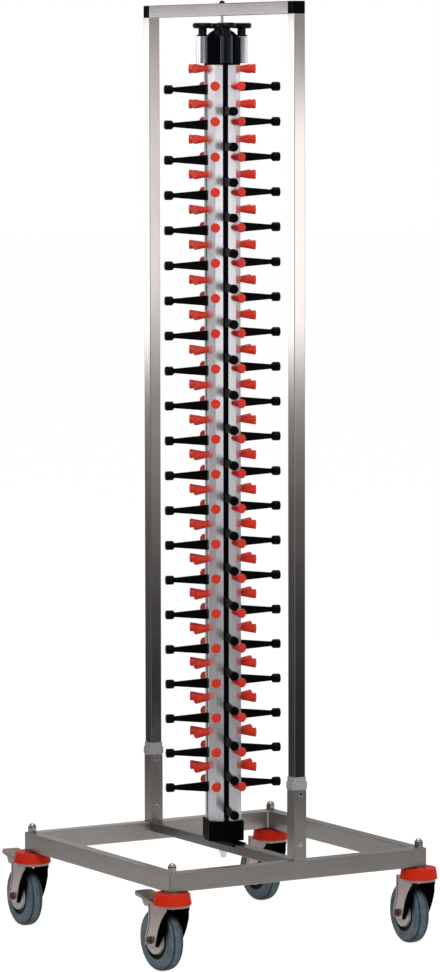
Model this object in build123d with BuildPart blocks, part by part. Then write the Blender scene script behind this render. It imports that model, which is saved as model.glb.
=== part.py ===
"""Plate dispenser cart: a square base on four casters, two posts with a top bar, and a turning mast.

Millimetres. The origin is on the floor under the mast's axis, +Z points up. The front is -Y.
"""

from build123d import *
import os
from math import cos, radians, sin

os.makedirs("parts", exist_ok=True)

# ---------------------------------------------------------------- driving dimensions

# Base frame: four mitred rails and a crossbar
base_size = 600.0
base_corner_radius = 4.5
rail_width = 25.0
rail_height = 38.0
rail_wall = 1.5
rail_edge_radius = 2.0
crossbar_width = 25.0
crossbar_height = 20.0

# Posts, their sockets and collars, the top bar and its corner connectors
tube_size = 25.0
tube_wall = 1.5
tube_edge_radius = 1.5
frame_height = 1897.0
socket_size = 28.5
socket_wall = 1.6
socket_floor = 4.0
socket_inset = 0.75
socket_height = 140.0
socket_screw_drops = (7.0, 108.0)
screw_head_radius = 4.5
screw_head_height = 1.6
screw_radius = 2.0
screw_length = 8.0
collar_size = 34.5
collar_wide_height = 18.0
collar_neck_height = 8.5
collar_corner_chamfer = 6.0
connector_leg = 25.0
connector_edge_radius = 2.0

# Casters
wheel_radius = 62.5
tyre_width = 31.0
tyre_inner_radius = 39.0
tyre_bead_inset = 1.0
tyre_shoulder_drop = 11.0
tyre_bend_half_width = 12.75
tyre_bend_drop = 3.3
tyre_crown_half_width = 6.0
tyre_crown_drop = 0.3
groove_width = 1.8
groove_depth = 1.6
groove_offset = 8.5
hub_cap_radius = 28.5
hub_length = 46.0
hub_boss_radius = 9.0
hub_dish_depth = 3.0
hub_edge_depth = 5.0
hub_edge_bevel = 2.0
wheel_web_width = 24.0
tyre_seat_depth = 3.0
tyre_seat_overhang = 2.0
wheel_play = 0.5
trail = 39.0
crown_radius = 35.0
crown_thickness = 5.0
crown_clearance = 8.0
swivel_head_radius = 23.0
swivel_head_height = 17.0
leg_thickness = 3.0
leg_rim = 4.0
leg_rim_height = 1.0
leg_front = -21.0
leg_notch_drop = 6.0
leg_notch_reach = 3.0
leg_notch_middle_drop = 34.5
leg_waist = 14.0
leg_waist_rise = 9.5
leg_foot_drop = 10.5
leg_foot_half = 18.0
leg_foot_toe = 14.0
leg_toe_rise = 3.0
leg_toe = 11.0
leg_brow_drop = 21.0
leg_belly_reach = -9.5
leg_belly_drop = 49.0
leg_cheek_thickness = 2.2
leg_knee_rise = 5.5
leg_shoulder_drop = 33.0
leg_tab_front = 8.0
leg_tab_rear = 6.0
leg_tab_rise = 7.0
bumper_top_radius = 35.0
bumper_foot_radius = 38.5
bumper_height = 22.0
bumper_wall = 3.0
bumper_edge_radius = 2.0
bearing_radius = 22.0
stem_radius = 5.0
stem_flange_radius = 15.0
stem_flange_height = 2.0
stem_head_radius = 8.0
stem_head_height = 5.2
stem_stickout = 13.0
bush_radius = 10.0
nut_across_flats = 17.0
nut_flange_radius = 9.0
nut_flange_height = 2.0
nut_hex_height = 8.0
axle_radius = 4.0
spacer_radius = 5.0
axle_nut_across_flats = 13.0
axle_nut_height = 6.5
axle_washer_radius = 8.0
axle_washer_height = 1.5
axle_tip = 2.0

# Brake pedal: reaches are behind the axle
pedal_width = 40.0
pedal_thickness = 3.0
pedal_length = 62.0
pedal_slope_rise = 9.5
pedal_heel_reach = 11.0
pedal_heel_rise = 7.5
pedal_pin_drop = 2.0
pedal_pin_radius = 3.0
pedal_lip = 4.0
pedal_corner_radius = 8.0
pedal_nose = 9.0
pedal_nose_rise = 1.0
cheek_nose = 5.0
cheek_reach = 36.0
cheek_foot_reach = 29.0
cheek_half_height = 4.0
shoe_length = 14.0
shoe_gap = 2.5

# Mast pivots
saddle_front = 73.0
saddle_rear = 58.0
saddle_width = 29.0
saddle_thickness = 2.0
saddle_lip = 5.5
saddle_end_radius = 10.0
pivot_bolt_radius = 4.0
pivot_shoulder_radius = 12.0
pivot_shoulder_height = 0.7
pivot_spigot_radius = 6.0
pivot_spigot_height = 27.0
pivot_tip = 1.0
cone_nut_radius = 9.5
cone_nut_tip_radius = 5.2
cone_nut_height = 15.0
cone_nut_band = 3.0
pin_radius = 3.0
pin_depth = 25.0
pin_cap_radius = 6.0

# Mast
mast_yaw = -19.3
mast_half = 33.0
mast_chamfer = 12.0
slot_half = 5.5
slot_depth = 12.0
undercut_half = 9.0
core_half = 16.0
core_wall = 2.0
foot_block_size = 72.0
foot_block_chamfer = 3.0
foot_block_height = 40.0
core_seat = 6.0

# Pegs
levels = 21
top_peg_drop = 7.0
lowest_peg_rise = 109.5
peg_lateral = 16.0
peg_splay = 21.0
peg_length = 31.5
peg_base_radius = 5.0
peg_tip_radius = 9.8
peg_tip_rounding = 1.2
peg_root_length = 6.0

# Arms and their sliding rails
arm_root_height = 21.0
arm_neck_height = 8.5
arm_thickness = 6.0
arm_neck_reach = 100.5
arm_head_radius = 9.25
arm_head_length = 18.0
arm_head_inner_chamfer = 3.5
arm_head_outer_chamfer = 1.8
arm_seat = 31.0
arm_drop_max = 52.0
arm_travel = 20.0
rail_foot_gap = 3.0
rail_head_gap = 1.5
arm_drops = {"front": 50.0, "right": 35.5, "back": 43.0, "left": 42.0}

# Mast head, sleeves and knobs
sleeve_reach = 40.0
sleeve_radius = 13.0
sleeve_wall = 3.0
sleeve_seat = 3.5
sleeve_height = 54.0
sleeve_cap = 4.0
head_body_height = 55.5
head_dome_height = 18.0
head_bar_gap = 25.0
dome_mid_reach = 0.67
dome_mid_rise = 0.64
spindle_radius = 4.0
spindle_end_rise = 2.0
lift_nut_rise = 3.0
lift_nut_height = 14.0
lift_nut_headroom = 2.0
head_spigot_length = 20.0
knob_radius = 20.0
knob_rise = 16.0
knob_height = 11.0
knob_edge_radius = 4.4
knob_neck_radius = 8.5
knob_flange_radius = 12.0
knob_flange_height = 2.7

# Clearances
sliding_gap = 0.3
running_gap = 0.1
fitting_gap = 0.1
end_gap = 1.0

# ---------------------------------------------------------------- derived places

crown_bottom = 2 * wheel_radius + crown_clearance
swivel_head_top = crown_bottom + swivel_head_height
bumper_bottom = crown_bottom + crown_thickness
bumper_top = bumper_bottom + bumper_height
rail_bottom = bumper_top + stem_flange_height
rail_top = rail_bottom + rail_height
frame_inside = base_size / 2 - rail_width
post_offset = base_size / 2 - socket_size / 2 - socket_inset
socket_top = rail_top + socket_height
bar_bottom = frame_height - tube_size
caster_offset = base_size / 2 - rail_width / 2
leg_inner = hub_length / 2 + wheel_play
crossbar_bottom = rail_top - crossbar_height

leg_foot = wheel_radius - leg_foot_drop
leg_tab_top = crown_bottom + leg_tab_rise
pedal_pin_height = crown_bottom - pedal_pin_drop
pedal_heel = trail + pedal_heel_reach
pedal_heel_height = crown_bottom + pedal_heel_rise
pedal_reach = pedal_heel + pedal_length
pedal_tip_height = pedal_heel_height + pedal_slope_rise
shoe_bottom = 2 * wheel_radius + shoe_gap

saddle_length = saddle_front + saddle_rear
saddle_top = rail_top + saddle_thickness
foot_block_bottom = saddle_top + pivot_shoulder_height + sliding_gap
foot_block_top = foot_block_bottom + foot_block_height
core_bottom = foot_block_top - core_seat
head_peak = bar_bottom - head_bar_gap
head_shoulder = head_peak - head_dome_height
mast_top = head_shoulder - head_body_height
top_peg = mast_top - top_peg_drop
level_pitch = (top_peg - foot_block_top - lowest_peg_rise) / (levels - 1)
sleeve_bottom = mast_top + sleeve_seat
sleeve_top = sleeve_bottom + sleeve_height
spindle_bottom = sleeve_bottom + spindle_end_rise
lift_nut_bottom = sleeve_bottom + lift_nut_rise
knob_bottom = sleeve_top + knob_rise

caster_turns = {"front_left": -2.0, "back_left": 3.5, "front_right": 5.0, "back_right": -2.0}
caster_signs = {"front_left": (-1, -1), "back_left": (-1, 1), "front_right": (1, -1), "back_right": (1, 1)}
braked_casters = ("front_left", "back_left")
side_angles = {"front": -90.0, "right": 0.0, "back": 90.0, "left": 180.0}

caster_centres = [(sx * caster_offset, sy * caster_offset) for sx, sy in caster_signs.values()]
post_centres = {"front": (0, -post_offset), "back": (0, post_offset)}
mast_plane = Plane.XY.rotated((0, 0, mast_yaw))


def side_plane(side):
    """The plane of one side of the mast: local X points outwards, local Y runs across the side."""
    return Plane.XY.rotated((0, 0, mast_yaw + side_angles[side]))


def peg_levels(side):
    """Heights of the pegs on one side; front and back stand half a pitch below the others."""
    start = top_peg - level_pitch / 2 if side in ("front", "back") else top_peg
    return [start - i * level_pitch for i in range(levels)]


def caster_location(corner):
    """Where the caster's own frame stands: the swivel axis on the floor, +Y towards the wheel."""
    sx, sy = caster_signs[corner]
    turn = radians(caster_turns[corner])
    origin = (sx * caster_offset, sy * caster_offset, 0)
    return Plane(origin=origin, x_dir=(cos(turn), -sin(turn), 0), z_dir=(0, 0, 1)).location


def write(piece, name):
    """Label the finished piece and write its STEP file."""
    piece.part.label = name
    export_step(piece.part, f"parts/{name}.step")


def placed(shape, name, locations):
    """Write copies of a finished shape at the given locations as one piece."""
    with BuildPart() as piece:
        with Locations(*locations):
            add(shape.part)
    write(piece, name)


# ---------------------------------------------------------------- base frame

for name, turn in {"front": 0, "right": 90, "back": 180, "left": 270}.items():
    with BuildPart() as rail:
        with BuildSketch(Plane.XY.offset(rail_bottom)):
            RectangleRounded(base_size, base_size, base_corner_radius)
            RectangleRounded(2 * frame_inside, 2 * frame_inside, base_corner_radius, mode=Mode.SUBTRACT)
        extrude(amount=rail_height)
        heights = rail.edges().group_by(Axis.Z)
        fillet(heights[0] + heights[-1], radius=rail_edge_radius)
        with BuildSketch(Plane.XY.offset(rail_bottom + rail_wall)):
            cavity = base_size - 2 * rail_wall
            RectangleRounded(cavity, cavity, base_corner_radius - rail_wall)
            island = 2 * (frame_inside + rail_wall)
            RectangleRounded(island, island, base_corner_radius + rail_wall, mode=Mode.SUBTRACT)
        extrude(amount=rail_height - 2 * rail_wall, mode=Mode.SUBTRACT)
        with BuildSketch(Plane.XY.offset(rail_bottom)):
            with Locations(*caster_centres):
                Circle(stem_radius + fitting_gap)
        extrude(amount=rail_height, mode=Mode.SUBTRACT)
        # The two mitre faces run through the frame's corners.
        with BuildSketch(Plane.XY.offset(rail_bottom).rotated((0, 0, turn))):
            with BuildLine():
                Polyline((0, 0), (-base_size, -base_size), (base_size, -base_size), close=True)
            make_face()
        extrude(amount=rail_height, mode=Mode.INTERSECT)
    write(rail, f"base_rail_{name}")

with BuildPart() as crossbar:
    with BuildSketch(Plane.XZ):
        with Locations((0, rail_top - crossbar_height / 2)):
            RectangleRounded(crossbar_width, crossbar_height, tube_edge_radius)
            Rectangle(crossbar_width - 2 * tube_wall, crossbar_height - 2 * tube_wall, mode=Mode.SUBTRACT)
    extrude(amount=frame_inside, both=True)
    with BuildSketch(Plane.XY.offset(crossbar_bottom)):
        Circle(pivot_bolt_radius + fitting_gap)
    extrude(amount=crossbar_height, mode=Mode.SUBTRACT)
write(crossbar, "crossbar")

with BuildPart() as corner_bushes:
    with BuildSketch(Plane.XY.offset(rail_bottom + rail_wall)):
        with Locations(*caster_centres):
            Circle(bush_radius)
            Circle(stem_radius + fitting_gap, mode=Mode.SUBTRACT)
    extrude(amount=rail_height - 2 * rail_wall)
write(corner_bushes, "corner_bushes")

# ---------------------------------------------------------------- caster stems, covers and nuts

with BuildPart() as stem:
    with BuildSketch():
        Circle(stem_radius)
    extrude(amount=rail_top + stem_stickout)
    with BuildSketch():
        Circle(stem_head_radius)
    extrude(amount=crown_bottom - sliding_gap)
    with BuildSketch():
        Circle(2 * stem_head_radius)
    extrude(amount=crown_bottom - sliding_gap - stem_head_height, mode=Mode.SUBTRACT)
    with BuildSketch(Plane.XY.offset(bumper_top)):
        Circle(stem_flange_radius)
    extrude(amount=stem_flange_height)
placed(stem, "caster_stems", [Location((x, y, 0)) for x, y in caster_centres])

with BuildPart() as dome_nut:
    with BuildSketch(Plane.XY.offset(rail_top)):
        Circle(nut_flange_radius)
    extrude(amount=nut_flange_height)
    with BuildSketch(Plane.XY.offset(rail_top + nut_flange_height)):
        RegularPolygon(nut_across_flats / 2, 6, major_radius=False)
    extrude(amount=nut_hex_height)
    with Locations((0, 0, rail_top + nut_flange_height + nut_hex_height)):
        Sphere(nut_across_flats / 2, arc_size1=0, align=(Align.CENTER, Align.CENTER, Align.MIN))
    with BuildSketch(Plane.XY.offset(rail_top)):
        Circle(stem_radius + fitting_gap)
    extrude(amount=stem_stickout + end_gap, mode=Mode.SUBTRACT)
placed(dome_nut, "dome_nuts", [Location((x, y, 0)) for x, y in caster_centres])

with BuildPart() as bumper:
    with BuildSketch(Plane.XZ):
        with BuildLine():
            Polyline(
                (stem_radius + fitting_gap, bumper_top),
                (bumper_top_radius, bumper_top),
                (bumper_foot_radius, bumper_bottom),
                (bumper_foot_radius - bumper_wall, bumper_bottom),
                (bumper_top_radius - bumper_wall, bumper_top - bumper_wall),
                (stem_radius + fitting_gap, bumper_top - bumper_wall),
                close=True,
            )
        make_face()
    revolve(axis=Axis.Z)
    fillet(bumper.edges().group_by(Axis.Z)[-1].sort_by(SortBy.LENGTH)[-1], radius=bumper_edge_radius)
placed(bumper, "bumper_rings", [Location((x, y, 0)) for x, y in caster_centres])

with BuildPart() as bearing:
    with BuildSketch(Plane.XY.offset(swivel_head_top + sliding_gap)):
        Circle(bearing_radius)
        Circle(stem_radius + fitting_gap, mode=Mode.SUBTRACT)
    extrude(amount=bumper_top - bumper_wall - swivel_head_top - sliding_gap)
placed(bearing, "swivel_bearings", [Location((x, y, 0)) for x, y in caster_centres])

# ---------------------------------------------------------------- casters

axle_line = Axis((0, trail, wheel_radius), (1, 0, 0))
axle_plane = Plane(origin=(0, trail, wheel_radius), x_dir=(1, 0, 0), z_dir=(0, -1, 0))

with BuildPart() as tyre:
    with BuildSketch(axle_plane):
        with BuildLine():
            bead = Vector(tyre_width / 2 - tyre_bead_inset, tyre_inner_radius)
            shoulder = Vector(tyre_width / 2, wheel_radius - tyre_shoulder_drop)
            bend = Vector(tyre_bend_half_width, wheel_radius - tyre_bend_drop)
            crown = Vector(tyre_crown_half_width, wheel_radius - tyre_crown_drop)
            Polyline((0, tyre_inner_radius), bead, shoulder)
            ThreePointArc(shoulder, bend, crown)
            ThreePointArc(crown, (0, wheel_radius), (-crown.X, crown.Y))
            ThreePointArc((-crown.X, crown.Y), (-bend.X, bend.Y), (-shoulder.X, shoulder.Y))
            Polyline((-shoulder.X, shoulder.Y), (-bead.X, bead.Y), (0, tyre_inner_radius))
        make_face()
        with Locations((-groove_offset, wheel_radius), (groove_offset, wheel_radius)):
            Rectangle(groove_width, 2 * groove_depth, mode=Mode.SUBTRACT)
    revolve(axis=axle_line)

with BuildPart() as wheel:
    with BuildSketch(axle_plane):
        with BuildLine():
            half = [
                (0, spacer_radius + running_gap),
                (hub_length / 2, spacer_radius + running_gap),
                (hub_length / 2, hub_boss_radius),
                (hub_length / 2 - hub_dish_depth, hub_cap_radius - hub_edge_bevel),
                (hub_length / 2 - hub_edge_depth, hub_cap_radius),
                (wheel_web_width / 2, hub_cap_radius),
                (wheel_web_width / 2, tyre_inner_radius - tyre_seat_depth),
                (wheel_web_width / 2 + tyre_seat_overhang, tyre_inner_radius - tyre_seat_depth),
                (wheel_web_width / 2 + tyre_seat_overhang, tyre_inner_radius),
                (0, tyre_inner_radius),
            ]
            Polyline(*half, *[(-x, r) for x, r in half[-2:0:-1]], close=True)
        make_face()
    revolve(axis=axle_line)

with BuildPart() as axle:
    head_seat = leg_inner + leg_thickness
    nut_start = head_seat + axle_washer_height
    bolt_end = nut_start + axle_nut_height + axle_tip
    with BuildSketch(Plane(axle_line.position - Vector(bolt_end, 0, 0), z_dir=(1, 0, 0))):
        Circle(axle_radius)
    extrude(amount=2 * bolt_end)
    with BuildSketch(Plane(axle_line.position + Vector(nut_start, 0, 0), z_dir=(1, 0, 0))):
        RegularPolygon(axle_nut_across_flats / 2, 6, major_radius=False)
    extrude(amount=axle_nut_height)
    with BuildSketch(Plane(axle_line.position + Vector(head_seat, 0, 0), z_dir=(1, 0, 0))):
        Circle(axle_washer_radius)
    extrude(amount=axle_washer_height)

with BuildPart() as axle_nut:
    with BuildSketch(Plane(axle_line.position - Vector(nut_start, 0, 0), z_dir=(-1, 0, 0))):
        RegularPolygon(axle_nut_across_flats / 2, 6, major_radius=False)
    extrude(amount=axle_nut_height)
    with BuildSketch(Plane(axle_line.position - Vector(head_seat, 0, 0), z_dir=(-1, 0, 0))):
        Circle(axle_washer_radius)
    extrude(amount=axle_washer_height)
    with BuildSketch(Plane(axle_line.position - Vector(head_seat, 0, 0), z_dir=(-1, 0, 0))):
        Circle(axle_radius + fitting_gap)
    extrude(amount=axle_nut_height + axle_washer_height, mode=Mode.SUBTRACT)

with BuildPart() as spacer:
    with BuildSketch(Plane(axle_line.position - Vector(leg_inner, 0, 0), z_dir=(1, 0, 0))):
        Circle(spacer_radius)
        Circle(axle_radius + fitting_gap, mode=Mode.SUBTRACT)
    extrude(amount=2 * leg_inner)


def leg_outline(inset):
    """Side view of a leg's raised face, drawn in by inset at its edges and let out at the open foot."""
    front = trail - leg_foot_half + inset
    rear = trail + leg_foot_half - inset
    tab_front = trail - leg_tab_front + inset
    tab_rear = trail + leg_tab_rear - inset
    top = crown_bottom + crown_thickness - inset
    notch_start = (leg_front + inset, crown_bottom - leg_notch_drop)
    notch_end = (leg_waist + inset, wheel_radius + leg_waist_rise)
    with BuildSketch() as outline:
        with BuildLine():
            ThreePointArc(
                notch_start,
                (leg_notch_reach + inset, crown_bottom - leg_notch_middle_drop),
                notch_end,
            )
            Polyline(
                notch_end,
                (front, leg_foot - inset),
                (rear, leg_foot - inset),
                (rear, wheel_radius + leg_knee_rise),
                (tab_rear, crown_bottom - leg_shoulder_drop),
                (tab_rear, leg_tab_top - inset),
                (tab_front, leg_tab_top - inset),
                (tab_front, top),
                (leg_front + inset, top),
                notch_start,
            )
        make_face()
    return outline.sketch


def cheek_outline():
    """Side view of the leg's thin inner plate, which bulges forward past the raised face."""
    brow = (leg_front, crown_bottom - leg_brow_drop)
    toe = (leg_toe, leg_foot + leg_toe_rise)
    with BuildSketch() as outline:
        with BuildLine():
            ThreePointArc(brow, (leg_belly_reach, crown_bottom - leg_belly_drop), toe)
            Polyline(
                toe,
                (leg_foot_toe, leg_foot),
                (trail, leg_foot),
                (trail, crown_bottom + crown_thickness),
                (leg_front, crown_bottom + crown_thickness),
                brow,
            )
        make_face()
    return outline.sketch


def fork_shape(braked):
    """Pressed fork: a round crown with a swivel head, and two legs with raised, rimmed faces."""
    with BuildPart() as fork:
        with BuildSketch(Plane.YZ.offset(leg_inner)):
            add(cheek_outline())
        extrude(amount=leg_cheek_thickness)
        with BuildSketch(Plane.YZ.offset(leg_inner)):
            add(leg_outline(0))
        extrude(amount=leg_thickness + leg_rim_height)
        with BuildSketch(Plane.YZ.offset(leg_inner + leg_thickness)):
            add(leg_outline(leg_rim))
        extrude(amount=leg_rim_height, mode=Mode.SUBTRACT)
        with BuildSketch(Plane.YZ):
            with Locations((trail, wheel_radius)):
                Circle(axle_radius + fitting_gap)
            if braked:
                with Locations((trail, pedal_pin_height)):
                    Circle(pedal_pin_radius + running_gap)
        extrude(amount=2 * leg_inner, mode=Mode.SUBTRACT)
        mirror(about=Plane.YZ)
        with BuildSketch(Plane.XY.offset(crown_bottom)):
            Circle(crown_radius)
        extrude(amount=crown_thickness)
        with BuildSketch(Plane.XY.offset(crown_bottom)):
            Circle(swivel_head_radius)
        extrude(amount=swivel_head_top - crown_bottom)
        with BuildSketch(Plane.XY.offset(crown_bottom)):
            Circle(stem_radius + running_gap)
        extrude(amount=swivel_head_top - crown_bottom, mode=Mode.SUBTRACT)
    return fork


with BuildPart() as pedal:
    # The plate with its lips, from the heel up to the tip, hollow from below
    lip_depth = pedal_thickness + pedal_lip
    with BuildSketch(Plane.YZ.offset(-pedal_width / 2)):
        with BuildLine():
            Polyline(
                (pedal_heel, pedal_heel_height),
                (pedal_reach, pedal_tip_height),
                (pedal_reach, pedal_tip_height - lip_depth),
                (pedal_heel, pedal_heel_height - lip_depth),
                close=True,
            )
        make_face()
    extrude(amount=pedal_width)
    fillet(pedal.edges().filter_by(Axis.Z).group_by(Axis.Y)[-1], radius=pedal_corner_radius)
    hollow_front = pedal_heel + pedal_thickness
    hollow_rear = pedal_reach - pedal_nose
    with BuildSketch(Plane.YZ.offset(-pedal_width / 2 + pedal_thickness)):
        with BuildLine():
            Polyline(
                (hollow_front, pedal_heel_height - pedal_thickness),
                (hollow_rear, pedal_tip_height - pedal_thickness - pedal_nose_rise),
                (hollow_rear, pedal_heel_height - 2 * lip_depth),
                (hollow_front, pedal_heel_height - 2 * lip_depth),
                close=True,
            )
        make_face()
    extrude(amount=pedal_width - 2 * pedal_thickness, mode=Mode.SUBTRACT)
    # The two cheeks carry the pedal on its pin, and the shoe stands over the tyre.
    cheek_outer = leg_inner - wheel_play
    cheek_inner = cheek_outer - pedal_thickness
    with BuildSketch(Plane.YZ.offset(cheek_inner)):
        with BuildLine():
            Polyline(
                (trail - cheek_nose, pedal_pin_height - cheek_half_height),
                (trail - cheek_nose, pedal_pin_height + cheek_half_height),
                (hollow_front, pedal_heel_height),
                (trail + cheek_reach, pedal_heel_height + pedal_thickness),
                (trail + cheek_reach, pedal_heel_height - pedal_lip),
                (trail + cheek_foot_reach, shoe_bottom),
                close=True,
            )
        make_face()
    extrude(amount=pedal_thickness)
    with BuildSketch(Plane.YZ.offset(cheek_inner)):
        with Locations((trail, pedal_pin_height)):
            Circle(pedal_pin_radius)
    extrude(amount=pedal_thickness + wheel_play + leg_thickness)
    mirror(about=Plane.YZ)
    with BuildSketch(Plane.YZ.offset(-cheek_inner)):
        with BuildLine():
            Polyline(
                (pedal_heel, shoe_bottom),
                (pedal_heel + shoe_length, shoe_bottom),
                (pedal_heel + shoe_length, pedal_heel_height),
                (pedal_heel, pedal_heel_height - pedal_nose_rise),
                close=True,
            )
        make_face()
    extrude(amount=2 * cheek_inner)

forks = {True: fork_shape(True), False: fork_shape(False)}
for corner in caster_signs:
    here = [caster_location(corner)]
    placed(forks[corner in braked_casters], f"fork_{corner}", here)
    placed(tyre, f"tyre_{corner}", here)
    placed(wheel, f"wheel_{corner}", here)
    with BuildPart() as axle_set:
        with Locations(*here):
            add(axle.part)
            add(axle_nut.part)
            add(spacer.part)
    write(axle_set, f"axle_{corner}")
    if corner in braked_casters:
        placed(pedal, f"brake_pedal_{corner}", here)

# ---------------------------------------------------------------- posts and top bar

socket_inner = socket_size - 2 * socket_wall
with BuildPart() as socket:
    with BuildSketch(Plane.XY.offset(rail_top)):
        RectangleRounded(socket_size, socket_size, tube_edge_radius)
    extrude(amount=socket_height)
    with BuildSketch(Plane.XY.offset(rail_top + socket_floor)):
        Rectangle(socket_inner, socket_inner)
    extrude(amount=socket_height, mode=Mode.SUBTRACT)
    for drop in socket_screw_drops:
        with BuildSketch(Plane.XZ):
            with Locations((0, socket_top - drop)):
                Circle(screw_radius + fitting_gap)
        extrude(amount=socket_size, both=True, mode=Mode.SUBTRACT)
placed(socket, "post_sockets", [Location((x, y, 0)) for x, y in post_centres.values()])

with BuildPart() as collar:
    with BuildSketch(Plane.XY.offset(socket_top)):
        Rectangle(collar_size, collar_size)
    extrude(amount=collar_wide_height)
    chamfer(collar.edges().filter_by(Axis.Z), length=collar_corner_chamfer)
    bevel = (collar_size - socket_size) / 2
    chamfer(collar.edges().group_by(Axis.Z)[0], length=bevel)
    chamfer(collar.edges().group_by(Axis.Z)[-1], length=bevel / 2)
    with BuildSketch(Plane.XY.offset(socket_top + collar_wide_height)):
        RectangleRounded(socket_size, socket_size, 2 * tube_edge_radius)
    extrude(amount=collar_neck_height)
    with BuildSketch(Plane.XY.offset(socket_top)):
        RectangleRounded(tube_size + 2 * fitting_gap, tube_size + 2 * fitting_gap, tube_edge_radius)
    extrude(amount=collar_wide_height + collar_neck_height, mode=Mode.SUBTRACT)
placed(collar, "post_collars", [Location((x, y, 0)) for x, y in post_centres.values()])

with BuildPart() as post:
    with BuildSketch(Plane.XY.offset(rail_top + socket_floor)):
        RectangleRounded(tube_size, tube_size, tube_edge_radius)
        Rectangle(tube_size - 2 * tube_wall, tube_size - 2 * tube_wall, mode=Mode.SUBTRACT)
    extrude(amount=bar_bottom - rail_top - socket_floor)
    for drop in socket_screw_drops:
        with BuildSketch(Plane.XZ):
            with Locations((0, socket_top - drop)):
                Circle(screw_radius + fitting_gap)
        extrude(amount=socket_size, both=True, mode=Mode.SUBTRACT)
for name, (x, y) in post_centres.items():
    placed(post, f"post_{name}", [Location((x, y, 0))])

with BuildPart() as screw:
    with BuildSketch(Plane.XZ.offset(socket_size / 2 - screw_length)):
        Circle(screw_radius)
    extrude(amount=screw_length)
    with BuildSketch(Plane.XZ.offset(socket_size / 2)):
        Circle(screw_head_radius)
    extrude(amount=screw_head_height)
    fillet(screw.edges().group_by(Axis.Y)[0], radius=screw_head_height / 2)
screw_places = [
    Location((x, y, socket_top - drop), (0, 0, turn))
    for x, y in post_centres.values()
    for drop in socket_screw_drops
    for turn in (0, 180)
]
placed(screw, "socket_screws", screw_places)

connector_inner = tube_size - 2 * tube_wall - 2 * fitting_gap
with BuildPart() as connector:
    with Locations((0, 0, frame_height - tube_size / 2)):
        Box(tube_size, tube_size, tube_size)
    fillet(connector.edges(), radius=connector_edge_radius)
    with BuildSketch(Plane.XY.offset(bar_bottom - connector_leg)):
        RectangleRounded(connector_inner, connector_inner, tube_edge_radius)
    extrude(amount=connector_leg + tube_size / 2)
    with BuildSketch(Plane.XZ.offset(-tube_size / 2 - connector_leg)):
        with Locations((0, frame_height - tube_size / 2)):
            RectangleRounded(connector_inner, connector_inner, tube_edge_radius)
    extrude(amount=connector_leg + tube_size / 2)
connector_places = [
    Location((0, -post_offset, 0)),
    Location((0, post_offset, 0), (0, 0, 180)),
]
placed(connector, "corner_connectors", connector_places)

with BuildPart() as top_bar:
    with BuildSketch(Plane.XZ):
        with Locations((0, frame_height - tube_size / 2)):
            RectangleRounded(tube_size, tube_size, tube_edge_radius)
            Rectangle(tube_size - 2 * tube_wall, tube_size - 2 * tube_wall, mode=Mode.SUBTRACT)
    extrude(amount=post_offset - tube_size / 2, both=True)
    with BuildSketch(Plane.XY.offset(bar_bottom)):
        Circle(pin_radius + fitting_gap)
    extrude(amount=tube_size, mode=Mode.SUBTRACT)
write(top_bar, "top_bar")

# ---------------------------------------------------------------- mast pivots

with BuildPart() as pivot_saddle:
    with BuildSketch(Plane.XY.offset(rail_top - saddle_lip)):
        with Locations((0, saddle_rear - saddle_length / 2)):
            RectangleRounded(saddle_width, saddle_length, saddle_end_radius)
    extrude(amount=saddle_lip + saddle_thickness)
    with BuildSketch(Plane.XY.offset(rail_top - saddle_lip)):
        Rectangle(crossbar_width + 2 * fitting_gap, 2 * saddle_length)
    extrude(amount=saddle_lip, mode=Mode.SUBTRACT)
    with BuildSketch(Plane.XY.offset(rail_top)):
        Circle(pivot_bolt_radius + fitting_gap)
    extrude(amount=saddle_thickness, mode=Mode.SUBTRACT)
write(pivot_saddle, "pivot_saddle")

with BuildPart() as pivot_bolt:
    with BuildSketch(Plane.XY.offset(crossbar_bottom - cone_nut_height - pivot_tip)):
        Circle(pivot_bolt_radius)
    extrude(amount=saddle_top - crossbar_bottom + cone_nut_height + pivot_tip)
    with BuildSketch(Plane.XY.offset(saddle_top)):
        Circle(pivot_shoulder_radius)
    extrude(amount=pivot_shoulder_height)
    with BuildSketch(Plane.XY.offset(saddle_top)):
        Circle(pivot_spigot_radius)
    extrude(amount=pivot_spigot_height)
write(pivot_bolt, "pivot_bolt")

with BuildPart() as pivot_nut:
    with BuildSketch(Plane.XZ):
        with BuildLine():
            Polyline(
                (pivot_bolt_radius + fitting_gap, crossbar_bottom),
                (cone_nut_radius, crossbar_bottom),
                (cone_nut_radius, crossbar_bottom - cone_nut_band),
                (cone_nut_tip_radius, crossbar_bottom - cone_nut_height),
                (pivot_bolt_radius + fitting_gap, crossbar_bottom - cone_nut_height),
                close=True,
            )
        make_face()
    revolve(axis=Axis.Z)
write(pivot_nut, "pivot_nut")

with BuildPart() as top_pivot_pin:
    with BuildSketch(Plane.XY.offset(head_peak - pin_depth)):
        Circle(pin_radius)
    extrude(amount=frame_height - head_peak + pin_depth)
    with Locations((0, 0, frame_height)):
        Sphere(pin_cap_radius, arc_size1=0, align=(Align.CENTER, Align.CENTER, Align.MIN))
write(top_pivot_pin, "top_pivot_pin")

# ---------------------------------------------------------------- mast

with BuildPart() as foot_block:
    with BuildSketch(mast_plane.offset(foot_block_bottom)):
        Rectangle(foot_block_size, foot_block_size)
    extrude(amount=foot_block_top - foot_block_bottom)
    chamfer(foot_block.edges().filter_by(Axis.Z), length=foot_block_chamfer)
    with BuildSketch(mast_plane.offset(core_bottom)):
        Rectangle(2 * (core_half + fitting_gap), 2 * (core_half + fitting_gap))
    extrude(amount=core_seat, mode=Mode.SUBTRACT)
    with BuildSketch(mast_plane.offset(foot_block_bottom)):
        Circle(pivot_spigot_radius + running_gap)
    extrude(amount=saddle_top + pivot_spigot_height + end_gap - foot_block_bottom, mode=Mode.SUBTRACT)
write(foot_block, "foot_block")

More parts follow.
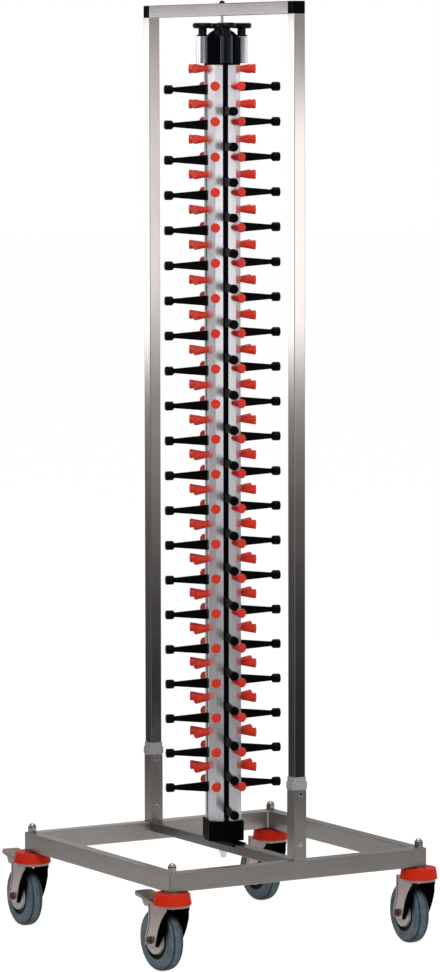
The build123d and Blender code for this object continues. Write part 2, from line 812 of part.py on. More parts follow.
with BuildPart() as mast_core:
    with BuildSketch(mast_plane.offset(core_bottom)):
        Rectangle(2 * core_half, 2 * core_half)
        Rectangle(2 * (core_half - core_wall), 2 * (core_half - core_wall), mode=Mode.SUBTRACT)
    extrude(amount=mast_top - core_bottom)
write(mast_core, "mast_core")

slot_floor = mast_half - slot_depth
column_turns = {"back_right": 0, "back_left": 90, "front_left": 180, "front_right": 270}
for name, turn in column_turns.items():
    with BuildPart() as column:
        with BuildSketch(Plane.XY.offset(foot_block_top).rotated((0, 0, mast_yaw + turn))):
            with BuildLine():
                Polyline(
                    (slot_half, mast_half),
                    (mast_half - mast_chamfer, mast_half),
                    (mast_half, mast_half - mast_chamfer),
                    (mast_half, slot_half),
                    (slot_floor, slot_half),
                    (slot_floor, undercut_half),
                    (core_half, undercut_half),
                    (core_half, core_half),
                    (undercut_half, core_half),
                    (undercut_half, slot_floor),
                    (slot_half, slot_floor),
                    close=True,
                )
            make_face()
        extrude(amount=mast_top - foot_block_top)
    write(column, f"column_{name}")

# One pair of splayed pegs, at height 0 in the frame of its side
with BuildPart() as peg_pair:
    splay = radians(peg_splay)
    peg_axis = (cos(splay), sin(splay), 0)
    root_radius = peg_base_radius - (peg_tip_radius - peg_base_radius) * peg_root_length / peg_length
    start = Vector(mast_half, peg_lateral, 0) - Vector(*peg_axis) * peg_root_length
    with BuildSketch(Plane(start, x_dir=(0, 0, 1), z_dir=peg_axis)):
        Circle(root_radius)
    with BuildSketch(Plane(start, x_dir=(0, 0, 1), z_dir=peg_axis).offset(peg_root_length + peg_length)):
        Circle(peg_tip_radius)
    loft()
    fillet(peg_pair.edges().sort_by(Axis.X)[-1], radius=peg_tip_rounding)
    split(bisect_by=Plane(origin=(mast_half, 0, 0), x_dir=(0, 1, 0), z_dir=(1, 0, 0)), keep=Keep.TOP)
    mirror(about=Plane.XZ)
peg_places = [side_plane(side).offset(z).location for side in side_angles for z in peg_levels(side)]
placed(peg_pair, "pegs", peg_places)

# ---------------------------------------------------------------- arms and rails

with BuildPart() as arm:
    with BuildSketch(Plane.XZ):
        with BuildLine():
            Polyline(
                (arm_seat, -arm_root_height / 2),
                (arm_seat, arm_root_height / 2),
                (arm_neck_reach + arm_head_inner_chamfer, arm_neck_height / 2),
                (arm_neck_reach + arm_head_inner_chamfer, -arm_neck_height / 2),
                close=True,
            )
        make_face()
    extrude(amount=arm_thickness / 2, both=True)
    with BuildSketch(Plane.YZ.offset(arm_neck_reach)):
        Circle(arm_head_radius)
    extrude(amount=arm_head_length)
    rims = arm.edges().filter_by(GeomType.CIRCLE).filter_by(lambda e: abs(e.radius - arm_head_radius) < 0.01)
    chamfer(rims.sort_by(Axis.X)[-1], length=arm_head_outer_chamfer)
    chamfer(rims.sort_by(Axis.X)[0], length=arm_head_inner_chamfer)

for side in side_angles:
    drop = arm_drops[side]
    lift = arm_drop_max - drop
    arm_places = [side_plane(side).offset(z - drop).location for z in peg_levels(side)]
    placed(arm, f"arms_{side}", arm_places)

    web_half = slot_half - sliding_gap
    foot_half = undercut_half - sliding_gap
    foot_inside = core_half + sliding_gap
    foot_outside = slot_floor - sliding_gap
    rail_start = foot_block_top + rail_foot_gap + lift
    rail_end = mast_top - rail_head_gap - arm_travel + lift
    nut_start_height = lift_nut_bottom + lift
    nut_radius = sleeve_radius - sleeve_wall - sliding_gap
    with BuildPart() as arm_rail:
        with BuildSketch(side_plane(side).offset(rail_start)):
            with Locations(((foot_inside + foot_outside) / 2, 0)):
                Rectangle(foot_outside - foot_inside, 2 * foot_half)
        extrude(amount=rail_end - rail_start)
        with BuildSketch(side_plane(side).offset(rail_start)):
            with Locations(((foot_outside + arm_seat) / 2, 0)):
                Rectangle(arm_seat - foot_outside, 2 * web_half)
        extrude(amount=nut_start_height - fitting_gap - rail_start)
        # The nut is a piece of its own, screwed to the strip's upper end.
        with BuildSketch(side_plane(side).offset(nut_start_height)):
            with Locations((sleeve_reach, 0)):
                Circle(nut_radius)
            with Locations(((foot_outside + sleeve_reach) / 2, 0)):
                Rectangle(sleeve_reach - foot_outside, 2 * web_half)
            with Locations((sleeve_reach, 0)):
                Circle(spindle_radius + sliding_gap, mode=Mode.SUBTRACT)
        extrude(amount=lift_nut_height)
    write(arm_rail, f"arm_rail_{side}")

# ---------------------------------------------------------------- mast head, sleeves and knobs

nut_slot_top = lift_nut_bottom + arm_travel + lift_nut_height + lift_nut_headroom
sleeve_centres = [
    (sleeve_reach * cos(radians(angle)), sleeve_reach * sin(radians(angle)))
    for angle in side_angles.values()
]

with BuildPart() as mast_head:
    with BuildSketch(mast_plane.offset(mast_top)):
        Rectangle(2 * mast_half, 2 * mast_half)
        chamfer(vertices(), length=mast_chamfer)
    extrude(amount=head_peak - mast_top)
    # The roof: a dome that meets the corners at the shoulder's height
    with BuildSketch(Plane.XZ):
        with BuildLine():
            Polyline((0, head_peak), (0, mast_top), (2 * mast_half, mast_top), (2 * mast_half, head_shoulder))
            Line((2 * mast_half, head_shoulder), (mast_half, head_shoulder))
            dome_mid = (mast_half * dome_mid_reach, head_shoulder + head_dome_height * dome_mid_rise)
            ThreePointArc((mast_half, head_shoulder), dome_mid, (0, head_peak))
        make_face()
    revolve(axis=Axis.Z, mode=Mode.INTERSECT)
    with BuildSketch(mast_plane.offset(sleeve_bottom)):
        with Locations(*sleeve_centres):
            Circle(sleeve_radius + fitting_gap)
    extrude(amount=head_peak - sleeve_bottom, mode=Mode.SUBTRACT)
    for side in side_angles:
        with BuildSketch(side_plane(side).offset(mast_top)):
            with Locations(((slot_floor - 2 * sliding_gap + sleeve_reach) / 2, 0)):
                Rectangle(sleeve_reach - slot_floor + 2 * sliding_gap, 2 * slot_half)
        extrude(amount=nut_slot_top - mast_top, mode=Mode.SUBTRACT)
    with BuildSketch(mast_plane.offset(head_peak)):
        Circle(pin_radius + running_gap)
    extrude(amount=-pin_depth - end_gap, mode=Mode.SUBTRACT)
    with BuildSketch(mast_plane.offset(mast_top)):
        spigot = 2 * (core_half - core_wall - fitting_gap)
        Rectangle(spigot, spigot)
    extrude(amount=-head_spigot_length)
write(mast_head, "mast_head")

with BuildPart() as sleeve:
    with BuildSketch(Plane.XY.offset(sleeve_bottom)):
        Circle(sleeve_radius)
    extrude(amount=sleeve_top - sleeve_bottom)
    with BuildSketch(Plane.XY.offset(sleeve_bottom)):
        Circle(sleeve_radius - sleeve_wall)
    extrude(amount=sleeve_top - sleeve_cap - sleeve_bottom, mode=Mode.SUBTRACT)
    with BuildSketch(Plane.XY.offset(sleeve_bottom)):
        Circle(spindle_radius + running_gap)
    extrude(amount=sleeve_top - sleeve_bottom, mode=Mode.SUBTRACT)
    # The slot faces the mast, for the strip's tongue.
    with BuildSketch(Plane.XY.offset(sleeve_bottom)):
        with Locations((-sleeve_radius, 0)):
            Rectangle(2 * sleeve_radius, 2 * slot_half)
    extrude(amount=nut_slot_top - sleeve_bottom, mode=Mode.SUBTRACT)
sleeve_places = [side_plane(side).location * Location((sleeve_reach, 0, 0)) for side in side_angles]
placed(sleeve, "guide_sleeves", sleeve_places)

with BuildPart() as knob:
    with BuildSketch(Plane.XY.offset(knob_bottom)):
        Circle(knob_radius)
    extrude(amount=knob_height)
    fillet(knob.edges(), radius=knob_edge_radius)
    with BuildSketch(Plane.XY.offset(sleeve_top + sliding_gap)):
        Circle(knob_neck_radius)
    extrude(amount=knob_bottom + knob_height / 2 - sleeve_top - sliding_gap)
    with BuildSketch(Plane.XY.offset(sleeve_top + sliding_gap)):
        Circle(knob_flange_radius)
    extrude(amount=knob_flange_height)
    with BuildSketch(Plane.XY.offset(spindle_bottom)):
        Circle(spindle_radius)
    extrude(amount=knob_bottom - spindle_bottom)
for side, place in zip(side_angles, sleeve_places):
    placed(knob, f"lift_knob_{side}", [place])
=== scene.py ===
"""Looks of the plate dispenser cart: materials, weld beads, lights, floor and camera.

Metres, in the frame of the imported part: origin on the floor under the mast, +Z up, front -Y.
"""

import bpy
from math import cos, pi, radians, sin
from mathutils import Matrix, Vector


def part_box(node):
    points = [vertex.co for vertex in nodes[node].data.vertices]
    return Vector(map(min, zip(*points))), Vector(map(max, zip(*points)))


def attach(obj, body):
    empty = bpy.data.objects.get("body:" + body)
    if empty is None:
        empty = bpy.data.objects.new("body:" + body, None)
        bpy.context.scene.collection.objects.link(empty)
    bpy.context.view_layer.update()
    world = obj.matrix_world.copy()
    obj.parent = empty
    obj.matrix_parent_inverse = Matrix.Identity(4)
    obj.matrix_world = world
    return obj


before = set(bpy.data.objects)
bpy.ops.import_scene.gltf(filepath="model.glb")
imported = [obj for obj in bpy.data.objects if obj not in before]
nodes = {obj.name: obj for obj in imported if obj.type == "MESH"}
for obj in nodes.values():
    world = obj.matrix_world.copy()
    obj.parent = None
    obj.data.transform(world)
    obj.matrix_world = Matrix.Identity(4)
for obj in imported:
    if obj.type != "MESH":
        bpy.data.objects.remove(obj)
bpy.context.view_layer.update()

SIDES = ("front", "right", "back", "left")
CORNERS = ("front_left", "front_right", "back_left", "back_right")
BRAKED = ("front_left", "back_left")
X_AXIS, Y_AXIS, Z_AXIS = 0, 1, 2

# ---------------------------------------------------------------- where a finish changes

# The mast's turn at rest, clockwise from above
MAST_TURN = radians(19.3)

# Each caster's turn about its swivel, from straight back
AXLE_TURNS = {
    "front_left": radians(-2.0),
    "back_left": radians(3.5),
    "front_right": radians(5.0),
    "back_right": radians(-2.0),
}

# On a caster, measured from the middle of its wheel
HUB_EDGE = 0.0287
TYRE_GROOVE = 0.0085
LEG_SKIN = 0.0261
CROWN_RISE = 0.0700
FORK_SHADE_FOOT = 0.020
LIP_FOOT = 0.0694
LIP_SLOPE = 0.153

# How far the fork's painted shade takes to fade in towards the crown, and how far off the fork still shelters
# the tyre for its painted shade
FORK_SHADE_REACH = 0.045
SHELTER_REACH = 0.03

# The front sleeve lies further forward than this on the mast
SLEEVE_REACH = 0.02

# The base is dark past the seam on both X and Y, and the bar is dull on its top face
CORNER_SEAM = 0.2982
TOP_SKIN = 0.0006
BAR_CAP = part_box("top_bar")[1][2] - TOP_SKIN

# ---------------------------------------------------------------- colours

WHITE = (1.0, 1.0, 1.0)
STEEL = (0.252, 0.233, 0.218)
BRIGHT_STEEL = (0.58, 0.54, 0.52)
BAR_STEEL = (0.40, 0.372, 0.385)
DULL_STEEL = (0.36, 0.34, 0.33)
DARK_STEEL = (0.26, 0.22, 0.19)
SEAM_SHADE = (0.02, 0.015, 0.01)
SEAM_SHARE = 0.45
ALUMINIUM = (0.78, 0.77, 0.81)
ZINC = (0.34, 0.29, 0.28)
# Painted shade on the fork, towards its crown
FORK_PAINTED_SHADE = (0.80, 0.77, 0.76)
HUB_DARK, HUB_LIGHT = (0.36, 0.33, 0.33), (0.46, 0.43, 0.43)
RUBBER_DARK, RUBBER_LIGHT = (0.026, 0.050, 0.062), (0.085, 0.125, 0.145)
SLEEVE_DARK, SLEEVE_LIGHT = (0.60, 0.62, 0.68), (0.66, 0.68, 0.74)
PAINTED_REFLECTION_SLEEVE = (0.020, 0.024, 0.032)
PIN_DARK, PIN_LIGHT = (0.40, 0.40, 0.44), (0.55, 0.55, 0.60)
PIN_HEAD = (0.004, 0.004, 0.005)
# Black: the pivot saddle's paint and the wheel beyond its hub cap, and painted shade inside the forks
BLACK_PAINT_AND_SHADE = (0.001, 0.001, 0.001)

# Noise scales of the brushed grain along and across it, of the smudges on it and of tyre streaks
GRAIN_ALONG, GRAIN_ACROSS = 8.0, 900.0
SMUDGE_SCALE = 7.0
RING_SCALE = 260.0

# Grain and smudges of the smoother brushed metals
FAINT = {"grain": 0.05, "smudge": 0.05}

# ---------------------------------------------------------------- node helpers


def new_material(name):
    """A material with an empty Principled shader; returns the material, its tree and the shader."""
    material = bpy.data.materials.new(name)
    material.use_nodes = True
    tree = material.node_tree
    return material, tree, tree.nodes["Principled BSDF"]


def empty_tree(owner, output_type):
    """The cleared node tree of a world or material, with its surface socket."""
    owner.use_nodes = True
    tree = owner.node_tree
    tree.nodes.clear()
    return tree, tree.nodes.new(output_type).inputs["Surface"]


def coords(tree, scale=(1, 1, 1), turn=0.0):
    """Object coordinates, scaled and turned about Z."""
    source = tree.nodes.new("ShaderNodeTexCoord")
    mapping = tree.nodes.new("ShaderNodeMapping")
    mapping.inputs["Scale"].default_value = scale
    mapping.inputs["Rotation"].default_value = (0, 0, turn)
    tree.links.new(source.outputs["Object"], mapping.inputs["Vector"])
    return mapping.outputs["Vector"]


def split_axes(tree, vector):
    """The X, Y and Z of a vector."""
    node = tree.nodes.new("ShaderNodeSeparateXYZ")
    tree.links.new(vector, node.inputs["Vector"])
    return node.outputs["X"], node.outputs["Y"], node.outputs["Z"]


def noise(tree, vector, scale, detail=2.0, roughness=0.5):
    """A noise texture's factor."""
    node = tree.nodes.new("ShaderNodeTexNoise")
    node.inputs["Scale"].default_value = scale
    node.inputs["Detail"].default_value = detail
    node.inputs["Roughness"].default_value = roughness
    tree.links.new(vector, node.inputs["Vector"])
    return node.outputs["Fac"]


def ramp(tree, factor, stops):
    """A colour ramp through (position, colour) stops."""
    node = tree.nodes.new("ShaderNodeValToRGB")
    elements = node.color_ramp.elements
    while len(elements) < len(stops):
        elements.new(0.5)
    for element, (position, colour) in zip(elements, stops):
        element.position = position
        element.color = (*colour, 1.0)
    tree.links.new(factor, node.inputs["Fac"])
    return node.outputs["Color"]


def grey_ramp(tree, factor, stops):
    """A ramp through (position, level) stops."""
    return ramp(tree, factor, [(position, (level,) * 3) for position, level in stops])


def mottle(tree, spots, dark, light):
    """Two colours blended by a noise factor."""
    return ramp(tree, spots, [(0.3, dark), (0.7, light)])


def spread(tree, factor, low, high):
    """The factor mapped from 0..1 to low..high."""
    node = tree.nodes.new("ShaderNodeMapRange")
    node.inputs["To Min"].default_value = low
    node.inputs["To Max"].default_value = high
    tree.links.new(factor, node.inputs["Value"])
    return node.outputs["Result"]


def math(tree, operation, first, second=0.0):
    """A math node on sockets or numbers."""
    node = tree.nodes.new("ShaderNodeMath")
    node.operation = operation
    for socket, value in zip(node.inputs, (first, second)):
        if isinstance(value, (int, float)):
            socket.default_value = value
        else:
            tree.links.new(value, socket)
    return node.outputs["Value"]


def mix(tree, factor, first, second, blend="MIX"):
    """Two colours, sockets or tuples, mixed by a factor socket or number."""
    node = tree.nodes.new("ShaderNodeMix")
    node.data_type = "RGBA"
    node.blend_type = blend
    for socket, value in ((node.inputs["Factor"], factor), (node.inputs[6], first), (node.inputs[7], second)):
        if isinstance(value, tuple):
            socket.default_value = (*value, 1.0)
        elif isinstance(value, (int, float)):
            socket.default_value = value
        else:
            tree.links.new(value, socket)
    return node.outputs[2]


def bump(tree, shader, height, strength, distance):
    """Bump on a shader from a height socket."""
    node = tree.nodes.new("ShaderNodeBump")
    node.inputs["Strength"].default_value = strength
    node.inputs["Distance"].default_value = distance
    tree.links.new(height, node.inputs["Height"])
    tree.links.new(node.outputs["Normal"], shader.inputs["Normal"])


def shade(colour, amount):
    """A colour made lighter (amount > 1) or darker (amount < 1)."""
    return tuple(min(1.0, c * amount) for c in colour)


def caster_coords(tree, corner):
    """The caster's own X, Y and Z from the middle of its wheel: along the axle, backwards, up."""
    low, high = (Vector(corner_point) for corner_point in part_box(f"wheel_{corner}"))
    source = tree.nodes.new("ShaderNodeTexCoord")
    mapping = tree.nodes.new("ShaderNodeMapping")
    mapping.vector_type = "TEXTURE"
    mapping.inputs["Location"].default_value = (low + high) / 2
    mapping.inputs["Rotation"].default_value = (0, 0, -AXLE_TURNS[corner])
    tree.links.new(source.outputs["Object"], mapping.inputs["Vector"])
    return split_axes(tree, mapping.outputs["Vector"])


def axle_distance(tree, behind, above):
    """The distance from the axle's line."""
    squares = (math(tree, "MULTIPLY", side, side) for side in (behind, above))
    return math(tree, "SQRT", math(tree, "ADD", *squares))


# ---------------------------------------------------------------- materials


def brushed_metal(
    name, colour, axis, rough=0.34, grain=0.10, smudge=0.10, metallic=1.0, seam=None, cap=None
):
    """Metal with a fine grain along one axis and faint broad smudges.

    It is dark past the seam, and duller above the cap's height.
    """
    material, tree, shader = new_material(name)
    stretch = tuple(GRAIN_ALONG if i == axis else GRAIN_ACROSS for i in range(3))
    lines = noise(tree, coords(tree, stretch), 1.0, 3.0, 0.6)
    patches = noise(tree, coords(tree), SMUDGE_SCALE, 3.0, 0.55)
    base = ramp(tree, lines, [(0.25, shade(colour, 1 - grain)), (0.75, shade(colour, 1 + grain))])
    tint = mottle(tree, patches, shade(WHITE, 1 - smudge), WHITE)
    finish = mix(tree, 1.0, base, tint, "MULTIPLY")
    x, y, z = split_axes(tree, coords(tree))
    if seam:
        nearer = math(tree, "MINIMUM", math(tree, "ABSOLUTE", x), math(tree, "ABSOLUTE", y))
        corner = math(tree, "GREATER_THAN", nearer, seam)
        finish = mix(tree, math(tree, "MULTIPLY", corner, SEAM_SHARE), finish, SEAM_SHADE)
    if cap:
        finish = mix(tree, math(tree, "GREATER_THAN", z, cap), finish, DULL_STEEL)
    tree.links.new(finish, shader.inputs["Base Color"])
    grainy = spread(tree, lines, -0.05, 0.05)
    patchy = spread(tree, patches, rough - 0.05, rough + 0.05)
    tree.links.new(math(tree, "ADD", grainy, patchy), shader.inputs["Roughness"])
    shader.inputs["Metallic"].default_value = metallic
    bump(tree, shader, lines, 0.12, 0.0002)
    return material


def plain_metal(name, colour, rough, speckle=0.08, scale=60.0):
    """Plated or polished metal with faint mottling."""
    material, tree, shader = new_material(name)
    spots = noise(tree, coords(tree), scale, 4.0, 0.6)
    base = mottle(tree, spots, shade(colour, 1 - speckle), shade(colour, 1 + speckle))
    tree.links.new(base, shader.inputs["Base Color"])
    tree.links.new(spread(tree, spots, rough * 0.8, rough * 1.25), shader.inputs["Roughness"])
    shader.inputs["Metallic"].default_value = 1.0
    bump(tree, shader, spots, 0.05, 0.0003)
    return material


def plastic(name, colour, rough, gloss=0.25):
    """Moulded plastic with a fine surface texture and a little colour variation."""
    material, tree, shader = new_material(name)
    broad = noise(tree, coords(tree), 14.0)
    fine = noise(tree, coords(tree), 900.0)
    base = mottle(tree, broad, shade(colour, 0.94), shade(colour, 1.06))
    tree.links.new(base, shader.inputs["Base Color"])
    tree.links.new(spread(tree, fine, rough - 0.06, rough + 0.06), shader.inputs["Roughness"])
    shader.inputs["Specular IOR Level"].default_value = gloss
    bump(tree, shader, fine, 0.08, 0.0001)
    return material


def wheel_material(name, corner):
    """Light hub out to the cap's edge, black beyond it, by distance from the axle."""
    material, tree, shader = new_material(name)
    _, behind, above = caster_coords(tree, corner)
    beyond = math(tree, "GREATER_THAN", axle_distance(tree, behind, above), HUB_EDGE)
    spots = noise(tree, coords(tree), 120.0, 3.0)
    hub = mottle(tree, spots, HUB_DARK, HUB_LIGHT)
    tree.links.new(mix(tree, beyond, hub, BLACK_PAINT_AND_SHADE), shader.inputs["Base Color"])
    tree.links.new(spread(tree, spots, 0.42, 0.55), shader.inputs["Roughness"])
    shader.inputs["Specular IOR Level"].default_value = 0.05
    bump(tree, shader, spots, 0.1, 0.0002)
    return material


def fork_material(name, corner):
    """Zinc plate with painted shade towards the crown, and black painted shade on the sides that face the
    wheel.
    """
    material, tree, shader = new_material(name)
    along, _, above = caster_coords(tree, corner)
    # Painted shade: inside the legs and below the crown the fork is black and not metallic
    inside = math(tree, "LESS_THAN", math(tree, "ABSOLUTE", along), LEG_SKIN)
    below = math(tree, "LESS_THAN", above, CROWN_RISE)
    painted = math(tree, "MULTIPLY", inside, below)
    spots = noise(tree, coords(tree), 45.0, 4.0, 0.6)
    plate = mottle(tree, spots, shade(ZINC, 0.92), shade(ZINC, 1.16))
    # Painted shade: the zinc grows darker from the foot height up towards the crown
    height = math(tree, "MULTIPLY", math(tree, "SUBTRACT", above, FORK_SHADE_FOOT), 1.0 / FORK_SHADE_REACH)
    crown_shade = ramp(tree, height, [(0.0, WHITE), (1.0, FORK_PAINTED_SHADE)])
    plate = mix(tree, 1.0, plate, crown_shade, "MULTIPLY")
    tree.links.new(mix(tree, painted, plate, BLACK_PAINT_AND_SHADE), shader.inputs["Base Color"])
    tree.links.new(math(tree, "SUBTRACT", 1.0, painted), shader.inputs["Metallic"])
    rough = math(tree, "MAXIMUM", spread(tree, spots, 0.30, 0.46), math(tree, "MULTIPLY", painted, 0.9))
    tree.links.new(rough, shader.inputs["Roughness"])
    shader.inputs["Specular IOR Level"].default_value = 0.0
    bump(tree, shader, spots, 0.05, 0.0003)
    return material


def pedal_material(name, corner):
    """Dark plate, with lighter plated cheeks below its sloping lip."""
    material, tree, shader = new_material(name)
    _, behind, above = caster_coords(tree, corner)
    lip = math(tree, "ADD", math(tree, "MULTIPLY", behind, LIP_SLOPE), LIP_FOOT)
    cheek = math(tree, "LESS_THAN", above, lip)
    spots = noise(tree, coords(tree), 50.0, 4.0, 0.6)
    plate = mottle(tree, spots, shade(DARK_STEEL, 0.85), shade(DARK_STEEL, 1.15))
    tree.links.new(mix(tree, cheek, plate, ZINC), shader.inputs["Base Color"])
    tree.links.new(spread(tree, spots, 0.34, 0.52), shader.inputs["Roughness"])
    shader.inputs["Metallic"].default_value = 1.0
    bump(tree, shader, spots, 0.05, 0.0003)
    return material


def tyre_material(name, corner):
    """Blue-grey rubber with streaks around it, painted shade along the groove lines, and painted shade where
    the fork shelters it.
    """
    material, tree, shader = new_material(name)
    along, behind, above = caster_coords(tree, corner)
    rings = tree.nodes.new("ShaderNodeCombineXYZ")
    tree.links.new(math(tree, "MULTIPLY", along, RING_SCALE), rings.inputs["X"])
    radius = axle_distance(tree, behind, above)
    tree.links.new(math(tree, "MULTIPLY", radius, RING_SCALE), rings.inputs["Y"])
    streaks = noise(tree, rings.outputs["Vector"], 1.0, 3.0, 0.6)
    patches = noise(tree, coords(tree), 45.0, 3.0, 0.6)
    worn = math(tree, "MULTIPLY", streaks, patches)
    rubber = ramp(tree, worn, [(0.12, RUBBER_DARK), (0.42, RUBBER_LIGHT)])
    # Painted shade: the rubber darkens in a narrow band along each groove
    off_middle = math(tree, "SUBTRACT", math(tree, "ABSOLUTE", along), TYRE_GROOVE)
    off_groove = math(tree, "MULTIPLY", math(tree, "ABSOLUTE", off_middle), 100.0)
    groove = grey_ramp(tree, off_groove, [(0.06, 0.32), (0.26, 1.0)])
    groove_shaded = mix(tree, 1.0, rubber, groove, "MULTIPLY")
    # Painted shade: the rubber's colour darkens by ambient occlusion where the fork is near
    shelter = tree.nodes.new("ShaderNodeAmbientOcclusion")
    shelter.samples = 8
    shelter.inputs["Distance"].default_value = SHELTER_REACH
    shelter_shade = grey_ramp(tree, shelter.outputs["AO"], [(0.35, 0.06), (0.75, 1.0)])
    tree.links.new(mix(tree, 1.0, groove_shaded, shelter_shade, "MULTIPLY"), shader.inputs["Base Color"])
    fine = noise(tree, coords(tree), 350.0)
    tree.links.new(spread(tree, fine, 0.45, 0.60), shader.inputs["Roughness"])
    shader.inputs["Specular IOR Level"].default_value = 0.3
    bump(tree, shader, fine, 0.25, 0.0003)
    return material


def sleeve_material(name):
    """Mirror finish, with a painted dark reflection on the sleeve at the front of the mast."""
    material, tree, shader = new_material(name)
    depth = split_axes(tree, coords(tree, turn=MAST_TURN))[Y_AXIS]
    # Painted reflection: the front sleeve is near black, for the dark surroundings it mirrors
    front = math(tree, "LESS_THAN", depth, -SLEEVE_REACH)
    spots = noise(tree, coords(tree), 8.0)
    bright = mottle(tree, spots, SLEEVE_DARK, SLEEVE_LIGHT)
    tree.links.new(mix(tree, front, bright, PAINTED_REFLECTION_SLEEVE), shader.inputs["Base Color"])
    tree.links.new(spread(tree, spots, 0.06, 0.09), shader.inputs["Roughness"])
    shader.inputs["Metallic"].default_value = 0.86
    shader.inputs["Specular IOR Level"].default_value = 0.1
    return material


def pin_material(name):
    """Plated pin, blackened above the underside of the top bar."""
    material, tree, shader = new_material(name)
    height = split_axes(tree, coords(tree))[Z_AXIS]
    capped = math(tree, "GREATER_THAN", height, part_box("top_bar")[0][2])
    spots = noise(tree, coords(tree), 90.0, 3.0)
    plate = mottle(tree, spots, PIN_DARK, PIN_LIGHT)
    tree.links.new(mix(tree, capped, plate, PIN_HEAD), shader.inputs["Base Color"])
    tree.links.new(spread(tree, spots, 0.2, 0.3), shader.inputs["Roughness"])
    shader.inputs["Metallic"].default_value = 1.0
    return material


steel_x = brushed_metal("stainless_along_x", STEEL, X_AXIS, seam=CORNER_SEAM)
steel_y = brushed_metal("stainless_along_y", STEEL, Y_AXIS, seam=CORNER_SEAM)
# Painted light: the back rail is a lighter copy of the rail steel, for the brighter reflection on its inner
# face
lit_back_rail_steel = brushed_metal("stainless_back_rail", shade(STEEL, 1.36), X_AXIS)
# Painted light: the sockets are a lighter copy of the rail steel
lit_socket_steel = brushed_metal("stainless_socket", shade(STEEL, 1.1), Z_AXIS)
# Painted shade: the crossbar is a darker copy of the rail steel, against the lamps' highlight on it
shaded_cross_steel = brushed_metal("stainless_crossbar", shade(STEEL, 0.62), Y_AXIS)
post_steel = brushed_metal("stainless_post", BRIGHT_STEEL, Z_AXIS, rough=0.12, **FAINT)
back_steel = brushed_metal("stainless_back_post", BRIGHT_STEEL, Z_AXIS, rough=0.13, **FAINT)
bar_steel = brushed_metal("stainless_bar", BAR_STEEL, Y_AXIS, rough=0.15, cap=BAR_CAP, **FAINT)
aluminium = brushed_metal("anodised_profile", ALUMINIUM, Z_AXIS, rough=0.22, metallic=0.92, **FAINT)
polished = plain_metal("polished_steel", (0.55, 0.55, 0.56), rough=0.12)
dome_steel = plain_metal("dome_nut_steel", (0.30, 0.26, 0.23), rough=0.16)
dark_zinc = plain_metal("dark_zinc", (0.16, 0.12, 0.09), rough=0.3)
zinc = plain_metal("zinc_plated", ZINC, rough=0.38, speckle=0.12, scale=45.0)
weld = plain_metal("weld_bead", (0.26, 0.24, 0.23), rough=0.45, speckle=0.2, scale=300.0)
red = plastic("red_plastic", (0.46, 0.020, 0.008), rough=0.42, gloss=0.2)
ring_red = plastic("red_cover", (0.40, 0.013, 0.002), rough=0.45, gloss=0.1)
black = plastic("black_plastic", (0.0006, 0.0009, 0.0012), rough=0.5, gloss=0.02)
arm_black = plastic("black_arm_plastic", (0.0008, 0.0008, 0.0008), rough=0.4, gloss=0.035)
black_gloss = plastic("black_plastic_smooth", (0.001, 0.001, 0.0015), rough=0.3, gloss=0.12)
black_steel = plastic("black_paint", BLACK_PAINT_AND_SHADE, rough=0.4, gloss=0.05)
pale = plastic("pale_plastic", (0.215, 0.21, 0.21), rough=0.5)

finishes = {
    "base_rail_front": steel_x,
    "base_rail_back": lit_back_rail_steel,
    "base_rail_left": steel_y,
    "base_rail_right": steel_y,
    "crossbar": shaded_cross_steel,
    "post_sockets": lit_socket_steel,
    "post_front": post_steel,
    "post_back": back_steel,
    "top_bar": bar_steel,
    "corner_bushes": zinc,
    "caster_stems": zinc,
    "dome_nuts": dome_steel,
    "bumper_rings": ring_red,
    "swivel_bearings": zinc,
    "post_collars": pale,
    "socket_screws": polished,
    "corner_connectors": black,
    "pivot_saddle": black_steel,
    "pivot_bolt": zinc,
    "pivot_nut": polished,
    "top_pivot_pin": pin_material("top_pin"),
    "foot_block": black,
    "mast_core": aluminium,
    "mast_head": black,
    "guide_sleeves": sleeve_material("guide_sleeves"),
    "pegs": red,
}
for side in SIDES:
    finishes[f"arm_rail_{side}"] = black
    finishes[f"arms_{side}"] = arm_black
    finishes[f"lift_knob_{side}"] = black_gloss
for corner in CORNERS:
    finishes[f"column_{corner}"] = aluminium
    finishes[f"fork_{corner}"] = fork_material(f"fork_{corner}", corner)
    finishes[f"axle_{corner}"] = dark_zinc
    finishes[f"tyre_{corner}"] = tyre_material(f"tyre_{corner}", corner)
    finishes[f"wheel_{corner}"] = wheel_material(f"wheel_{corner}", corner)
for corner in BRAKED:
    finishes[f"brake_pedal_{corner}"] = pedal_material(f"brake_pedal_{corner}", corner)

# ---------------------------------------------------------------- finishes and rounded edges

SHARP_EDGE = radians(30)
EDGE_ROUNDING = {
    "base_rail": 0.0004,
    "post": 0.0003,
    "foot_block": 0.0012,
    "mast_head": 0.0012,
    "arms": 0.0005,
    "fork": 0.0005,
    "brake_pedal": 0.0006,
    "column": 0.0006,
    "lift_knob": 0.0004,
    "pegs": 0.0003,
    "pivot": 0.0004,
}

for name, piece in nodes.items():
    piece.data.materials.clear()
    piece.data.materials.append(finishes[name])
    for start, width in EDGE_ROUNDING.items():
        if name.startswith(start):
            edge = piece.modifiers.new("edges", "BEVEL")
            edge.width = width
            edge.segments = 2
            edge.limit_method = "ANGLE"
            edge.angle_limit = SHARP_EDGE
            edge.harden_normals = False

# ---------------------------------------------------------------- weld beads on the base's mitres

RAIL_TOP = 0.200
RAIL_WIDTH = 0.025
BASE_HALF = 0.300
BEAD_RADIUS = 0.0009
BEAD_STEP = 0.0012
BEAD_SINK = 0.0006
BEAD_INNER_GAP = 0.001
BEAD_OUTER_GAP = 0.002
LUMP_LOW, LUMP_RISE = 0.85, 0.15


